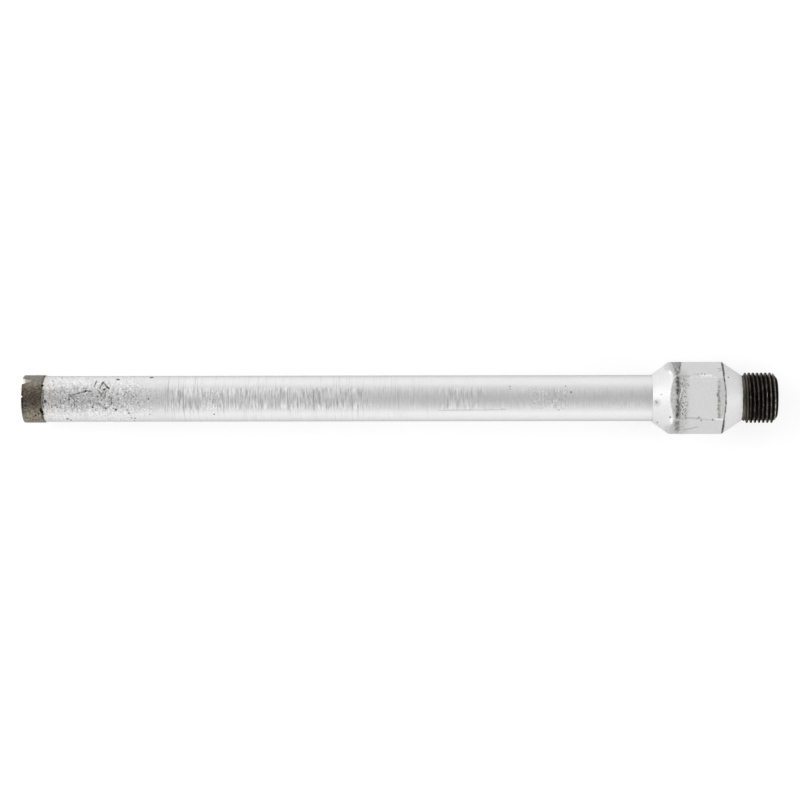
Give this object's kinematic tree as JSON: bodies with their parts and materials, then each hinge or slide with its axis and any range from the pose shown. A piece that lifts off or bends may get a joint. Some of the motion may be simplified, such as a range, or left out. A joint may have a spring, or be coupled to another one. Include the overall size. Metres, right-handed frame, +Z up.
{
  "type": "diamond core bit",
  "caption": "Slim wet-drilling core bit: steel barrel with a notched diamond crown at one end and a hexagonal collar with a threaded nipple at the other.",
  "frame": {"origin": "centre of the bounding box on the bench that the bit lies on", "axes": "+X along the bit from its crown to its thread, +Z up from the bench; the bit's own axis leans 1.06 degrees up towards +X, as it lies at rest"},
  "size_m": [0.3148, 0.03, 0.0304],
  "materials": {
    "diamond_matrix": "sintered metal with diamond grit, dull and pitted",
    "silver_solder": "bright run of solder, uneven",
    "silver_paint": "thin silver paint on steel, scratched and speckled",
    "dark_steel": "black oiled thread behind a silver-painted cone"
  },
  "bodies": {
    "root": {"diamond_crown": "diamond_matrix", "solder_seam": "silver_solder", "barrel_tube": "silver_paint", "hex_collar": "silver_paint", "threaded_nipple": "dark_steel"}
  },
  "joints": []
}
